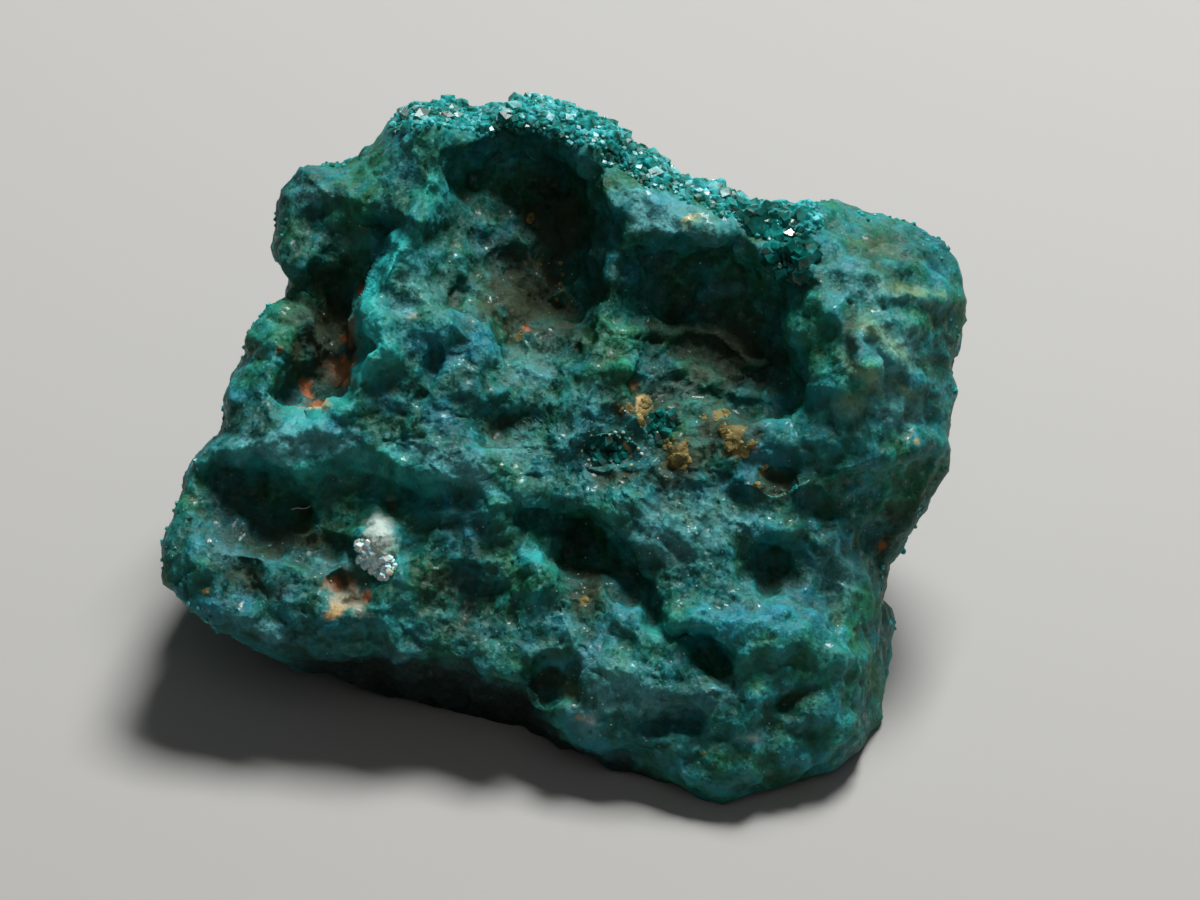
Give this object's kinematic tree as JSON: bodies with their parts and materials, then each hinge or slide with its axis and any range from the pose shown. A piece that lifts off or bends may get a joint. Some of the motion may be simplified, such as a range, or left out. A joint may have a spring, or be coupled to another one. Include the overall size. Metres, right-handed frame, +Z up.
{
  "type": "dioptase mineral specimen",
  "caption": "Rough chunk of massive blue-green dioptase with a pitted broken face, rounded hollows and a crust of small six-sided crystals along its top edge, resting on a flat break.",
  "frame": {"origin": "on the surface it rests on, below the middle of the stone", "axes": "+Z up from the resting face; the pitted broad face looks toward -Y and up; +X runs across that face to the viewer's right"},
  "size_m": [0.0323, 0.0275, 0.0186],
  "materials": {
    "teal_stone": "waxy, part crystalline, blue-green with dark hollows"
  },
  "bodies": {
    "root": {"dioptase_stone": "teal_stone"}
  },
  "joints": []
}
